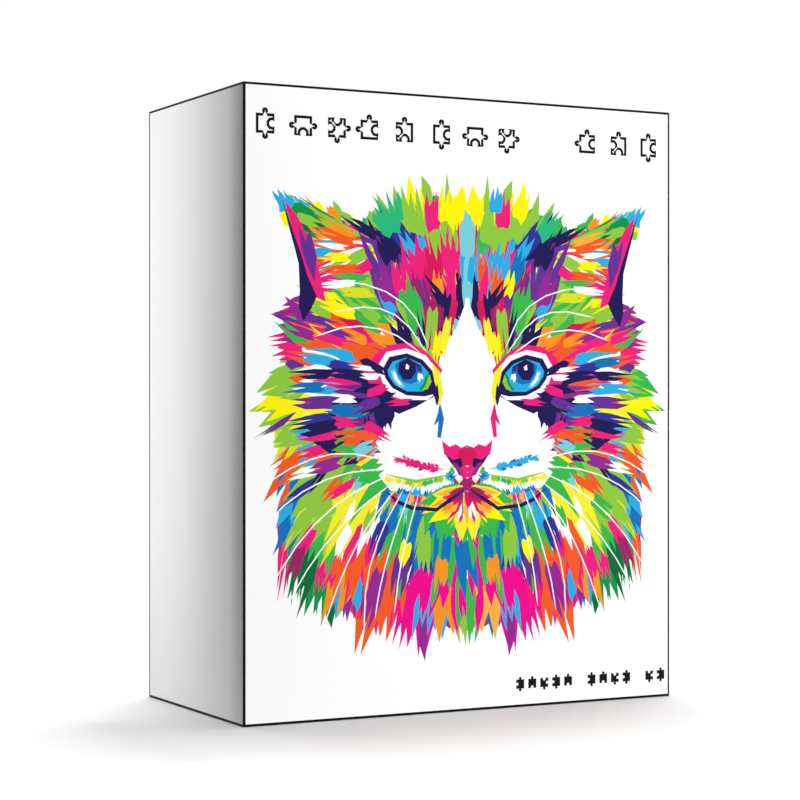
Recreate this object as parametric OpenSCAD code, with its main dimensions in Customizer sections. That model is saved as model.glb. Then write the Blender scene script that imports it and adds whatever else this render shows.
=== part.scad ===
// Boxed jigsaw puzzle: a full-depth lid over a base tray, both of wrapped chipboard, with a sealed
// clear bag of loose pieces and a reference print inside.
// The box stands on one wall of its lid. X is the width, Y the depth and Z the height. The printed
// panel of the lid faces -Y, and the lid pulls off along -Y.

/* [Box] */
// Width of the closed box
box_w = 202; // [201:1:240]
// Depth of the closed box, front to back
box_d = 103; // [90:1:120]
// Height of the closed box as it stands
box_h = 254; // [246:1:300]

/* [Board and paper] */
// Thickness of the chipboard
board_t = 1.5; // [1.2:0.1:1.6]
// Thickness of the wrap paper
paper_t = 0.2; // [0.15:0.05:0.3]
// Depth of the wrap that is turned in over the rim of the lid
lid_turn_in = 16; // [10:1:25]
// Depth of the wrap that is turned in over the rim of the base
base_turn_in = 14; // [10:1:25]
// Width of each leg of the tape on a folded corner
stay_leg = 14; // [8:1:20]
// Thickness of that tape
stay_t = 0.15; // [0.1:0.05:0.3]
// Gap all round between the base and the turned-in wrap of the lid
fit_gap = 0.6; // [0.3:0.1:0.8]
// Distance that the rim of the lid stops short of the back of the base
rim_setback = 0.5; // [0.3:0.1:3]

/* [Puzzle] */
// Pitch of the pieces along a row
piece_w = 30; // [28:1:30]
// Pitch of the rows
piece_h = 27; // [26:1:28]
// Thickness of a piece
piece_t = 2; // [1.6:0.1:2.2]
// Radius of a knob
knob_r = 4; // [3.6:0.1:4.1]
// Distance from the cut line to the centre of a knob
knob_out = 3; // [2.6:0.1:3.1]

/* [Contents] */
// Distance between neighbouring layers of loose pieces
layer_pitch = 4.8; // [4.6:0.1:5]
// Thickness of the bag film
film_t = 0.3; // [0.2:0.05:0.4]
// Height of the bag
bag_h = 232; // [226:1:234]
// Width of the picture card
card_w = 180; // [120:1:186]
// Height of the picture card
card_h = 226; // [160:1:232]
// Thickness of the picture card
card_t = 0.5; // [0.3:0.1:0.8]

/* [Hidden] */
$fn = 48;
wall = board_t + paper_t;

// Outside of the base
lid_clear = wall + paper_t + fit_gap;
base_w = box_w - 2 * lid_clear;
base_h = box_h - 2 * lid_clear;
base_z = lid_clear;
// Space between the rim of the base and the inside of the printed panel
rim_gap = 0.3;
base_d = box_d - wall - rim_gap;
lid_d = box_d - rim_setback;

// Number of pieces in each row of the puzzle, from its lowest row up: 131 in all. Each row has one
// piece more or less than the next, so every cut is offset by half a piece from the row below.
ROW_COUNTS = [7, 8, 9, 10, 11, 12, 11, 12, 11, 10, 11, 10, 9];
rows = len(ROW_COUNTS);

// Layers of loose pieces in the bag, from the back: the number of pieces side by side, and how many
// high. The heap is deepest at the foot of the bag.
LAYERS = [
    [3, 4], [4, 4], [3, 4], [4, 4], [3, 4],
    [4, 3], [3, 3], [4, 3], [3, 3],
    [4, 2], [3, 2], [4, 1], [3, 1]
];
// Height by which the layers of three stand above the layers of four
layer_lift = 15;
// Largest shift of a loose piece from the middle of its slot
slip_max = 1;
// Side of the square slot that a loose piece may turn in
slot = piece_w + 2 * (knob_out + knob_r + slip_max) + 1;
// Largest lean of a loose piece out of its layer, so that its farthest corner stays clear of the next
corner_reach = norm([piece_w * 3 / 4, piece_h / 2]);
lean_max = asin((layer_pitch - piece_t - 0.2) / 2 / corner_reach);

// Inside faces of the base: its floor panel is at the back of the standing box
tray_back = box_d / 2 - wall;
tray_foot = base_z + wall + paper_t;
// Foot of the bag and of the card, and the plane in which the bag's back film starts
bag_foot = tray_foot + 0.3;
bag_back = tray_back - 0.4;
bag_w = 4 * slot + 2 * slip_max + 1;
// Air between the film and the heap
film_gap = 0.4;
heap_back = bag_back - film_t - film_gap;
heap_foot = bag_foot + film_t + film_gap;

LAYER_SIZES = [for (layer = LAYERS) layer[0] * layer[1]];
function total(list, n) = n == 0 ? 0 : list[n - 1] + total(list, n - 1);

function row_name(i) = str("pieces_row_", i < 9 ? "0" : "", i + 1);

// ---- Trays -------------------------------------------------------------------------------------
// A tray is drawn with the outside of its panel at y = 0, its rim at y = d and its walls from z = 0.

// Block inset by the same amount from the two sides, the top and the foot of a tray
module tray_block(size, inset, y0, y1)
    translate([inset - size[0] / 2, y0, inset])
        cube([size[0] - 2 * inset, y1 - y0, size[2] - 2 * inset]);

// Tape over the folded corner at the side given by right and upper
module corner_stay(size, right, upper) {
    leg_x = right ? size[0] / 2 - stay_leg : -size[0] / 2;
    leg_z = upper ? size[2] - stay_leg : 0;
    intersection() {
        difference() {
            tray_block(size, paper_t, paper_t, size[1] - paper_t);
            tray_block(size, paper_t + stay_t, 0, size[1]);
        }
        translate([leg_x, 0, leg_z]) cube([stay_leg, size[1], stay_leg]);
    }
}

// The corners in order round the panel
module numbered_stay(size, i) corner_stay(size, i == 2 || i == 3, i > 2);

// Board with the room that the tape takes from its corners
module board(size)
    difference() {
        tray_block(size, paper_t, paper_t, size[1] - paper_t);
        tray_block(size, wall, wall, size[1]);
        for (i = [1:4]) numbered_stay(size, i);
    }

// Paper over the outside, the rim and the first part of the inside
module wrap(size, turn_in)
    difference() {
        tray_block(size, 0, 0, size[1]);
        difference() {
            tray_block(size, paper_t, paper_t, size[1] - paper_t);
            tray_block(size, wall, wall, size[1]);
        }
        tray_block(size, wall, wall, size[1] - turn_in);
        tray_block(size, wall + paper_t, wall, size[1] + 1);
    }

LID = [box_w, lid_d, box_h];
BASE = [base_w, base_d, base_h];

module place_lid() translate([0, -box_d / 2, 0]) children();
module place_base() translate([0, box_d / 2, base_z]) rotate([0, 0, 180]) children();

module lid_board() color("Tan") place_lid() board(LID);
module lid_wrap() color("White") place_lid() wrap(LID, lid_turn_in);
module lid_corner_stay(i) color("BurlyWood") place_lid() numbered_stay(LID, i);
module base_board() color("Tan") place_base() board(BASE);
module base_wrap() color("WhiteSmoke") place_base() wrap(BASE, base_turn_in);
module base_corner_stay(i) color("BurlyWood") place_base() numbered_stay(BASE, i);

// ---- Puzzle pieces -----------------------------------------------------------------------------
// The finished puzzle is centred on x = 0. Row i starts at the height i * piece_h.

// Half width of the puzzle at the cut below row i
function half_at(i) = piece_w / 4 * (
    i == 0 ? 2 * ROW_COUNTS[0] - 1
    : i == rows ? 2 * ROW_COUNTS[rows - 1] - 1
    : ROW_COUNTS[i - 1] + ROW_COUNTS[i]
);

// Position of piece j of row i along its row
function piece_x(i, j) = (j - (ROW_COUNTS[i] - 1) / 2) * piece_w;

// Knobs on a level cut point up or down, and on an upright cut right or left
function level_knob(i, x) = (floor(4 * x / piece_w + 100) + 3 * i) % 5 < 3 ? 1 : -1;
function upright_knob(i, j) = (2 * i + 3 * j) % 7 < 4 ? 1 : -1;

// Number of pieces that row i shares with the row above it
function shared(i) = min(ROW_COUNTS[i], ROW_COUNTS[i + 1]);

module knob(x, y) translate([x, y]) circle(r = knob_r);

// Outline of piece j of row i about its own middle. Where out is 1 this draws the body and the knobs
// that it carries, and where out is -1 the sockets for its neighbours' knobs.
module knobs(i, j, out) {
    x = piece_x(i, j);
    n = ROW_COUNTS[i];
    if (j < n - 1 && upright_knob(i, j) == out) knob(piece_w / 2 + out * knob_out, 0);
    if (j > 0 && upright_knob(i, j - 1) == -out) knob(-piece_w / 2 - out * knob_out, 0);
    for (side = [-1, 1]) {
        dx = side * piece_w / 4;
        if (i < rows - 1 && abs(x + dx) < shared(i) * piece_w / 2 && level_knob(i, x + dx) == out)
            knob(dx, piece_h / 2 + out * knob_out);
        if (i > 0 && abs(x + dx) < shared(i - 1) * piece_w / 2 && level_knob(i - 1, x + dx) == -out)
            knob(dx, -piece_h / 2 - out * knob_out);
    }
}

module piece_outline(i, j) {
    x = piece_x(i, j);
    first = j == 0;
    last = j == ROW_COUNTS[i] - 1;
    difference() {
        union() {
            polygon([
                [first ? -half_at(i) - x : -piece_w / 2, -piece_h / 2],
                [last ? half_at(i) - x : piece_w / 2, -piece_h / 2],
                [last ? half_at(i + 1) - x : piece_w / 2, piece_h / 2],
                [first ? -half_at(i + 1) - x : -piece_w / 2, piece_h / 2]
            ]);
            knobs(i, j, 1);
        }
        knobs(i, j, -1);
    }
}

// Place in the heap of piece number n. A piece from the end of a row only turns by quarters,
// because its free end is longer.
function layer_of(n, k = 0) = n < LAYER_SIZES[k] ? [k, n] : layer_of(n - LAYER_SIZES[k], k + 1);

module place_piece(n, end) {
    at = layer_of(n);
    columns = LAYERS[at[0]][0];
    column = at[1] % columns;
    level = floor(at[1] / columns);
    x = (column - (columns - 1) / 2) * slot + slip_max * sin(n * 131);
    y = heap_back - (at[0] + 0.5) * layer_pitch;
    z = heap_foot + slip_max + (level + 0.5) * slot + (columns == 3 ? layer_lift : 0)
        + slip_max * cos(n * 77);
    turn = end ? 90 * (n % 4) : (n * 97) % 360;
    face_back = n % 3 == 1;
    lean_axis = (n * 61) % 360;
    lean = lean_max * sin(n * 43);
    translate([x, y, z])
        rotate(a = lean, v = [cos(lean_axis), 0, sin(lean_axis)])
            rotate([90, 0, face_back ? 180 : 0]) rotate(turn)
                translate([0, 0, -piece_t / 2]) children();
}

module pieces_row(i) color("SandyBrown")
    for (j = [0:ROW_COUNTS[i] - 1])
        place_piece(total(ROW_COUNTS, i) + j, j == 0 || j == ROW_COUNTS[i] - 1)
            linear_extrude(piece_t) piece_outline(i, j);

// ---- Bag and card ------------------------------------------------------------------------------

// How far the inside of the front film stands off the back film where it passes k layers of the heap,
// and the height of a heap that is so many pieces high
function reach(k) = k * layer_pitch + 2 * film_gap;
function heap_top(level) = heap_foot + 2 * slip_max + level * slot + layer_lift;
// Height from which the two films are sealed together
seal_z = heap_top(4) + 12;

// Slope of the bag's front, from the lowest step of the heap to the third
slope = (reach(13) - reach(9)) / (heap_top(3) - heap_top(1));

// Side view of the bag in front of its back film, as [distance from the film, height], drawn on the
// inside of the front film or moved out by its thickness
function bag_side(out) = [
    [0, bag_foot + film_t - out],
    [reach(13) + out, bag_foot + film_t - out],
    [reach(13) + out, heap_top(1)],
    [reach(9) + out, heap_top(3)],
    [reach(5) + out, heap_top(4)],
    [out, seal_z]
];
seal_side = [[film_t, bag_foot + bag_h], [0, bag_foot + bag_h]];

module bag_prism(w, side)
    translate([-w / 2, bag_back - film_t, 0]) rotate([90, 0, 90])
        linear_extrude(w) polygon([for (p = side) [-p[0], p[1]]]);

module bag_back_film() color("LightCyan")
    translate([-bag_w / 2, bag_back - film_t, bag_foot]) cube([bag_w, film_t, bag_h]);

module bag_front_film() color("LightCyan")
    difference() {
        bag_prism(bag_w, concat(bag_side(film_t), seal_side));
        bag_prism(bag_w - 2 * film_t, bag_side(0));
    }

// Card that stands on the foot of the base and leans back on the bag
card_gap = 0.6;
lean_back = atan(slope);
module picture_card() color("Gold")
    translate([0, bag_back - 2 * film_t - reach(13) - card_gap, heap_top(1)])
        rotate([-lean_back, 0, 0])
            translate([-card_w / 2, -card_t, -(heap_top(1) - bag_foot) / cos(lean_back)])
                cube([card_w, card_t, card_h]);

lid_board();
lid_wrap();
base_board();
base_wrap();
bag_back_film();
bag_front_film();
picture_card();
for (i = [1:4]) lid_corner_stay(i);
for (i = [1:4]) base_corner_stay(i);
for (i = [0:rows - 1]) pieces_row(i);
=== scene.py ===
"""Looks of a boxed jigsaw puzzle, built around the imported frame.

The printed lid, the bag of die-cut pieces and the picture card all show the same picture, a cat's head
made of flat tufts of colour, which the section "Picture" draws from rules, seeds and small tables.
"""

import math
import random

import bpy
import numpy as np
from mathutils import Matrix, Vector, geometry, noise


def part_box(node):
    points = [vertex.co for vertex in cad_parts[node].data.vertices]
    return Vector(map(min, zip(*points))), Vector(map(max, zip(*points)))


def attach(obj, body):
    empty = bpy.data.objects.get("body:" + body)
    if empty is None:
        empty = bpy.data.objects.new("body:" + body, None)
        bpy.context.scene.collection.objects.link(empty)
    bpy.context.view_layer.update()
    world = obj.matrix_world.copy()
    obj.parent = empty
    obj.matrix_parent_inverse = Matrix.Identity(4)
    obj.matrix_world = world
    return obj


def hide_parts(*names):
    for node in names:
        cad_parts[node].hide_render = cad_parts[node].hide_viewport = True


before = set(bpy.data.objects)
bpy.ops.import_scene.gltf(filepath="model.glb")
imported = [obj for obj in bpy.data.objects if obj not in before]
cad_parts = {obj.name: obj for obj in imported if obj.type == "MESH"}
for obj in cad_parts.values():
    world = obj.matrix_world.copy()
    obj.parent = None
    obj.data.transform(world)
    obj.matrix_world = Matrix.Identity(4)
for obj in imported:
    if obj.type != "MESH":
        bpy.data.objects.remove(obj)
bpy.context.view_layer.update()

MM = 0.001
BOX_LOW, BOX_HIGH = (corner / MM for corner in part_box("lid_wrap"))
BASE_LOW, BASE_HIGH = (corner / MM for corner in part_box("base_wrap"))
BAG_LOW, BAG_HIGH = (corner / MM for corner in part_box("bag_front_film"))

# The corners of a rectangle, anticlockwise from the lower right one
CORNERS = ((1, -1), (1, 1), (-1, 1), (-1, -1))

# Paper and board, in millimetres
PAPER = 0.2
WALL = 1.7
LID_TURN_IN = 16
BASE_TURN_IN = 14
CARD_THICK = 0.5


# ---- Camera, light and floor -----------------------------
# Places are in metres. The camera looks level, from a little to the left of the printed panel.

CAMERA_AT = (-0.4461, -0.8450, 0.127)
CAMERA_HEADING = (0.4631, 0.8863, 0)
LENS, SENSOR, RISE = 98.86, 36, 0.00525
BOX_MIDDLE = (0, 0, 0.127)
FLOOR_REACH = 40
AMBIENT = 0.42


def add_to_scene(name, data):
    thing = bpy.data.objects.new(name, data)
    bpy.context.scene.collection.objects.link(thing)
    return thing


def add_camera():
    """A long lens level with the middle of the box."""
    camera = add_to_scene("camera", bpy.data.cameras.new("camera"))
    camera.location = CAMERA_AT
    camera.rotation_euler = Vector(CAMERA_HEADING).to_track_quat("-Z", "Y").to_euler()
    camera.data.lens = LENS
    camera.data.sensor_width = SENSOR
    camera.data.shift_y = RISE
    bpy.context.scene.camera = camera
    bpy.context.scene.view_settings.view_transform = "Standard"


def add_light(kind, name, place, target, strength, **settings):
    """A light at a place that shines on a target and isn't seen itself."""
    light = add_to_scene(name, bpy.data.lights.new(name, kind))
    light.data.energy = strength
    for key, value in settings.items():
        setattr(light.data, key, value)
    light.location = place
    light.rotation_euler = (Vector(target) - Vector(place)).to_track_quat("-Z", "Y").to_euler()
    light.visible_camera = False
    return light


def add_panel(name, place, target, strength, width, height):
    return add_light("AREA", name, place, target, strength, shape="RECTANGLE", size=width, size_y=height)


def leave_out(light, linking, thing):
    """The light doesn't reach the thing, or isn't stopped by it."""
    group = bpy.data.collections.new(light.name + "_" + linking)
    setattr(light.light_linking, linking, group)
    group.objects.link(thing)
    group.collection_objects[0].light_linking.link_state = "EXCLUDE"


def add_lights(floor, flag):
    """A soft key on the printed panel, a soft light from behind, one from above, and a strip that
    grazes the left side. The flag only stops the strip, and only the light from above and the world
    reach the floor."""
    key = add_panel("front_softbox", (0.95, -2.1, 0.75), BOX_MIDDLE, 42, 1.3, 1.1)
    fill = add_panel("back_softbox", (0.6, 2.2, 0.7), BOX_MIDDLE, 17, 1.3, 1.1)
    overhead = add_light("SUN", "overhead", (0.3, 0.5, 2.2), (0, 0, 0), 3.6, angle=math.radians(40))
    strip = add_panel("side_strip", (-0.221, 0.05, 0.13), (-0.101, 0.05, 0.13), 0.25, 0.03, 0.6)
    for light in (key, fill, overhead):
        leave_out(light, "blocker_collection", flag)
    for light in (key, fill, strip):
        light.visible_glossy = False
        leave_out(light, "receiver_collection", floor)


def add_glints(film):
    """Two windows that only the clear film mirrors, so that its folds show in the open box."""
    only = bpy.data.collections.new("film_only")
    only.objects.link(film)
    for name, x in (("glint_left", -0.55), ("glint_right", 0.55)):
        glint = add_panel(name, (x, -1.0, 0.75), (0, 0.1, 0.12), 10, 0.14, 0.6)
        glint.light_linking.receiver_collection = only


def add_sheet(name, corners, material):
    """A flat staging sheet with four corners."""
    mesh = bpy.data.meshes.new(name)
    mesh.from_pydata(corners, [], [(0, 1, 2, 3)])
    mesh.materials.append(material)
    sheet = add_to_scene(name, mesh)
    return sheet


def add_flag():
    """A black card beside the box, out of sight, that takes light off the front of its side."""
    x, front, back, height = BOX_LOW.x * MM - 0.042, -0.12, -0.012, 0.3
    material, _, shader = new_material("flag_black")
    set_inputs(shader, Base_Color=(0.01, 0.01, 0.01, 1))
    flag = add_sheet("flag", [(x, front, 0), (x, back, 0), (x, back, height), (x, front, height)], material)
    flag.visible_camera = False
    flag.visible_glossy = False
    return flag


def add_floor():
    material, tree, shader = new_material("floor_white")
    set_inputs(shader, Base_Color=(0.8, 0.8, 0.8, 1), Specular_IOR_Level=0.1,
               Roughness=spots(tree, 40, 0.7, 0.8))
    corners = [(right * FLOOR_REACH, back * FLOOR_REACH, 0) for right, back in CORNERS[3:] + CORNERS[:3]]
    floor = add_sheet("floor", corners, material)
    floor.visible_diffuse = False
    return floor


def add_world():
    """White behind everything, and a softer light of the same white on the object."""
    world = bpy.data.worlds.new("studio")
    bpy.context.scene.world = world
    world.use_nodes = True
    tree = world.node_tree
    tree.nodes.clear()
    ambient = new_node(tree, "Background", Color=(1, 1, 1, 1), Strength=AMBIENT)
    behind = new_node(tree, "Background", Color=(1, 1, 1, 1), Strength=1)
    seen = new_node(tree, "LightPath").outputs["Is Camera Ray"]
    new_node(tree, "OutputWorld", Surface=mixed(tree, seen, ambient, behind))


# ---- Materials -------------------------------------------
# Scales of textures are per metre, depths of bumps in metres, and colours sRGB from 0 to 255.

def new_material(name):
    material = bpy.data.materials.new(name)
    material.use_nodes = True
    return material, material.node_tree, material.node_tree.nodes["Principled BSDF"]


def set_inputs(node, **inputs):
    """Set a node's inputs to numbers, or link them to the outputs of other nodes."""
    for name, value in inputs.items():
        socket = node.inputs[name.replace("_", " ")]
        if isinstance(value, bpy.types.NodeSocket):
            node.id_data.links.new(value, socket)
        else:
            socket.default_value = value
    return node


def new_node(tree, kind, **inputs):
    return set_inputs(tree.nodes.new("ShaderNode" + kind), **inputs)


def mixed(tree, share, first, second):
    """The first shader with a share of the second."""
    mix = new_node(tree, "MixShader")
    for socket, output in zip(mix.inputs, (share, first.outputs[0], second.outputs[0])):
        tree.links.new(output, socket)
    return mix.outputs[0]


def texture(tree, kind, scale, stretch=(1, 1, 1), output=0, **inputs):
    """A texture's output, finer along an axis that is stretched."""
    place = new_node(tree, "TexCoord").outputs["Object"]
    mapping = new_node(tree, "Mapping", Scale=stretch, Vector=place)
    return new_node(tree, "Tex" + kind, Scale=scale, Vector=mapping.outputs[0], **inputs).outputs[output]


def ranged(tree, value, low, high, at=(0.3, 0.7)):
    """The value stretched from the range at to the range from low to high."""
    node = new_node(tree, "MapRange", From_Min=at[0], From_Max=at[1], To_Min=low, To_Max=high, Value=value)
    return node.outputs["Result"]


def spots(tree, scale, low, high):
    """A value that varies softly over the surface, for its roughness."""
    return ranged(tree, texture(tree, "Noise", scale, Detail=3.0), low, high)


def bumps(tree, *heights):
    """Bump from one or more (value, depth), the last one finest."""
    normal = None
    for value, depth in heights:
        node = new_node(tree, "Bump", Distance=depth, Height=value)
        if normal:
            set_inputs(node, Normal=normal)
        normal = node.outputs["Normal"]
    return normal


def colours(tree, value, stops):
    """A colour from a value, through stops of (place, colour)."""
    ramp = new_node(tree, "ValToRGB", Fac=value)
    elements = ramp.color_ramp.elements
    while len(elements) < len(stops):
        elements.new(0.5)
    for element, (place, colour) in zip(elements, stops):
        element.position = place
        element.color = linear(colour)
    return ramp.outputs["Color"]


def linear(colour):
    """An sRGB colour as the linear colour that a shader takes."""
    parts = [c / 255 for c in colour]
    return tuple(c / 12.92 if c <= 0.04045 else ((c + 0.055) / 1.055) ** 2.4 for c in parts) + (1.0,)


def ink_material(name, colour):
    """One printing ink on smooth white paper under a satin varnish."""
    material, tree, shader = new_material(name)
    peel = texture(tree, "Noise", 380, Detail=2.0)
    fibre = texture(tree, "Noise", 2600, Detail=4.0)
    set_inputs(shader, Base_Color=linear(colour), Specular_IOR_Level=0.13,
               Coat_Weight=0.05, Coat_Roughness=0.3, Roughness=spots(tree, 700, 0.42, 0.56),
               Normal=bumps(tree, (peel, 0.00003), (fibre, 0.000015)))
    return material


def plain_paper():
    """Uncoated white wrap of the base, a little warmer and rougher than the print."""
    material, tree, shader = new_material("plain_paper")
    cloud = texture(tree, "Noise", 300, Detail=3.0)
    fibre = texture(tree, "Noise", 1800, (1, 1, 2.5), Detail=5.0)
    set_inputs(shader, Base_Color=linear((240, 239, 235)), Specular_IOR_Level=0.25,
               Roughness=spots(tree, 900, 0.62, 0.78),
               Normal=bumps(tree, (cloud, 0.00004), (fibre, 0.00004)))
    return material


def grey_board(name, dark, light, fleck):
    """Recycled chipboard: grey felt of fibres with darker and lighter flecks."""
    material, tree, shader = new_material(name)
    felt = texture(tree, "Noise", 420, Detail=6.0, Roughness=0.75)
    fibre = texture(tree, "Noise", 1500, (1, 1, 3), Detail=5.0)
    flecked = colours(tree, felt, [(0.28, fleck), (0.4, dark), (0.55, light), (0.72, fleck)])
    set_inputs(shader, Base_Color=flecked, Specular_IOR_Level=0.15,
               Roughness=spots(tree, 500, 0.82, 0.95), Normal=bumps(tree, (felt, 0.00008), (fibre, 0.00006)))
    return material


def kraft_tape():
    """Brown gummed paper tape, with the long fibres of kraft paper."""
    material, tree, shader = new_material("kraft_tape")
    fibre = texture(tree, "Noise", 900, (1, 0.15, 1), Detail=5.0)
    set_inputs(shader, Base_Color=colours(tree, fibre, [(0.3, (150, 112, 72)), (0.7, (190, 152, 106))]),
               Specular_IOR_Level=0.3, Roughness=spots(tree, 800, 0.5, 0.68),
               Normal=bumps(tree, (fibre, 0.00004)))
    return material


def clear_film():
    """Thin clear plastic: it lets light through and mirrors some of it, more at a slant."""
    material, tree, shader = new_material("clear_film")
    tree.nodes.remove(shader)
    crumple = texture(tree, "Voronoi", 62, (1, 1, 0.6), "Distance")
    crinkle = texture(tree, "Noise", 260, Detail=4.0, Roughness=0.6)
    through = new_node(tree, "BsdfTransparent", Color=(0.975, 0.985, 0.985, 1))
    mirror = new_node(tree, "BsdfGlossy", Color=(1, 1, 1, 1), Roughness=0.07,
                      Normal=bumps(tree, (crumple, 0.0035), (crinkle, 0.0004)))
    slant = new_node(tree, "LayerWeight", Blend=0.12).outputs["Facing"]
    share = ranged(tree, slant, 0.05, 0.8, (0, 1))
    set_inputs(tree.nodes["Material Output"], Surface=mixed(tree, share, through, mirror))
    return material


def make_materials():
    made = {ink: ink_material("ink_" + ink, colour) for ink, colour in INKS.items()}
    made["plain"] = plain_paper()
    made["greyboard"] = grey_board("grey_board", (164, 159, 150), (184, 179, 170), (136, 132, 124))
    made["piece_edge"] = grey_board("piece_edge", (168, 160, 146), (192, 185, 170), (140, 132, 120))
    made["piece_back"] = grey_board("piece_back", (172, 170, 164), (190, 188, 181), (150, 148, 143))
    made["tape"] = kraft_tape()
    made["film"] = clear_film()
    return made


# ---- Picture ---------------------------------------------
# The picture is drawn in millimetres on the printed panel: x from its middle line, z from the floor.

INKS = {
    "white": (255, 255, 255), "black": (10, 10, 12), "navy": (27, 20, 80), "royal": (46, 49, 146),
    "blue": (15, 113, 184), "cyan": (41, 171, 226), "ice": (120, 205, 215), "teal": (40, 182, 120),
    "pine": (0, 146, 69), "forest": (0, 104, 55), "green": (57, 181, 74), "lime": (140, 198, 63),
    "chartreuse": (217, 224, 33), "yellow": (255, 242, 0), "sun": (245, 236, 50), "amber": (251, 176, 64),
    "orange": (247, 147, 30), "vermilion": (241, 90, 36), "magenta": (236, 30, 121), "pink": (238, 0, 140),
    "crimson": (212, 20, 90), "maroon": (158, 31, 99), "violet": (146, 39, 143), "purple": (102, 45, 145),
}


def table(text):
    """Rows parted by commas, and words parted by spaces, with the numbers read as numbers."""
    return [[word if word.isalpha() else float(word) for word in row.split()] for row in text.split(",")]


# Where the fur has which colours, on one half of the face: distance from the middle, height, inks
FUR = table("""
    5 212 yellow sun yellow, 17 208 magenta yellow magenta, 42 209 lime teal lime, 14 201 lime lime yellow,
    26 203 lime lime green, 10 190 magenta magenta crimson, 22 190 magenta magenta royal,
    22 181 maroon crimson magenta, 10 181 amber amber orange, 12 170 navy maroon magenta,
    5 174 magenta ice magenta, 28 175 green green lime, 20 162 crimson purple navy,
    25 160 lime chartreuse lime, 12 155 yellow crimson yellow, 31 192 cyan royal cyan,
    38 190 purple navy royal, 37 176 purple violet purple, 44 186 yellow orange magenta,
    52 178 green lime chartreuse, 64 178 white green chartreuse, 62 169 yellow yellow sun,
    48 168 lime lime green, 41 165 blue lime cyan, 33 160 purple navy violet,
    44 155 orange vermilion orange, 46 148 magenta magenta vermilion, 56 158 yellow orange magenta,
    65 160 yellow purple yellow, 77 166 violet navy purple, 84 158 magenta magenta green,
    70 150 vermilion vermilion orange, 60 146 vermilion cyan blue, 74 142 cyan white blue,
    58 139 royal cyan magenta, 88 133 lime chartreuse lime, 74 130 yellow blue purple,
    56 132 purple navy magenta, 46 136 navy navy purple, 48 127 purple navy white, 36 124 navy purple navy,
    58 123 magenta blue blue, 70 121 navy blue violet, 86 120 chartreuse lime yellow,
    46 117 vermilion purple magenta, 58 112 green green navy, 70 113 navy magenta lime,
    78 112 cyan magenta lime, 44 110 ice vermilion ice, 64 101 vermilion magenta orange,
    50 101 green green sun, 48 93 sun lime green, 60 92 white magenta lime, 72 93 lime purple lime,
    64 82 sun lime chartreuse, 52 82 sun lime magenta, 76 82 lime chartreuse lime, 76 66 pine pine forest,
    66 68 magenta magenta green, 58 64 cyan white vermilion, 50 72 white magenta magenta,
    44 62 vermilion blue vermilion, 40 74 blue magenta white, 32 70 lime green green,
    28 62 royal blue chartreuse, 20 72 blue green lime, 14 64 green green blue, 60 52 cyan orange orange,
    54 44 violet magenta cyan, 42 48 violet vermilion violet, 32 52 vermilion pink violet,
    24 48 violet pink violet, 14 50 blue orange pink, 6 58 blue pink green, 10 38 orange violet pink,
    2 48 pink orange lime, 26 38 violet pink cyan, 70 46 forest pine vermilion
""")

# Outline of one half of the head, inside its fringe
HEAD = table("""
    0 203, 14 205, 30 203, 42 199, 52 190, 60 180, 67 173, 71 164, 73 152, 75 140, 76 128, 76 116, 74 106,
    72 96, 73 84, 74 74, 72 62, 62 53, 46 47, 24 42, 0 42
""")


def turned(heading, angle):
    """A direction or a point turned anticlockwise about the origin."""
    c, s = math.cos(angle), math.sin(angle)
    return heading[0] * c - heading[1] * s, heading[0] * s + heading[1] * c


def inside(x, y, ring):
    """Whether a point, or which of an array of points, lies inside the ring."""
    hit = np.zeros(np.shape(x), bool)
    for (x0, y0), (x1, y1) in zip(ring, ring[1:] + ring[:1]):
        if y0 != y1:
            hit ^= ((y0 > y) != (y1 > y)) & (x < x0 + (y - y0) / (y1 - y0) * (x1 - x0))
    return hit


# Heights on the face
NOSE_Z = 122
BROW_Z = 165
CHEEK_Z = 105


def flow(x, z):
    """Direction in which the fur lies: away from the nose, and down below the eyes."""
    dx, dz = toward((0, NOSE_Z), (x, z))
    fall = 0.55 * share_of(BROW_Z - z, 60) + 1.1 * share_of(CHEEK_Z - z, 40)
    # On the forehead it lies more upright towards the middle
    if z > BROW_Z:
        dx *= 0.6 + 0.4 * min(1, x / 60)
    return toward((0, fall), (dx, dz))


def share_of(value, run):
    """How far a value has come along a run, from 0 to 1."""
    return min(1, max(0, value / run))


def toward(a, b):
    """Direction from one point to another."""
    r = math.dist(a, b) or 1
    return (b[0] - a[0]) / r, (b[1] - a[1]) / r


def fur_ink(x, z, rng):
    """One of the inks of the nearest place in the table."""
    near = min(FUR, key=lambda row: math.hypot(row[0] - x, row[1] - z))
    return rng.choice(near[2:])


def tuft(at, heading, length, width, spikes, rng, bend=0.0):
    """A stroke of fur: parallel sides, a narrow slanted foot, and pointed tips of different lengths."""
    tips = []
    for k in range(spikes):
        low, high = k / spikes - 0.5, (k + 1) / spikes - 0.5
        if k:
            tips.append((rng.uniform(0.3, 0.6), low))
        tips.append((rng.uniform(0.68, 1), low + (high - low) * rng.uniform(0.1, 0.9)))
    right = [(rng.uniform(-0.1, 0.1), -0.34), (0.15, -0.5), (rng.uniform(0.4, 0.6), -0.52)]
    left = [(rng.uniform(0.35, 0.6), 0.52), (0.15, 0.5), (rng.uniform(-0.1, 0.1), 0.34)]
    foot = [(rng.uniform(0.02, 0.15), 0)]
    c, s = heading
    points = []
    for u, v in right + tips + left + foot:
        u, v = u * length, v * width + bend * u * u * length
        points.append((at[0] + u * c - v * s, at[1] + u * s + v * c))
    return points


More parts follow.
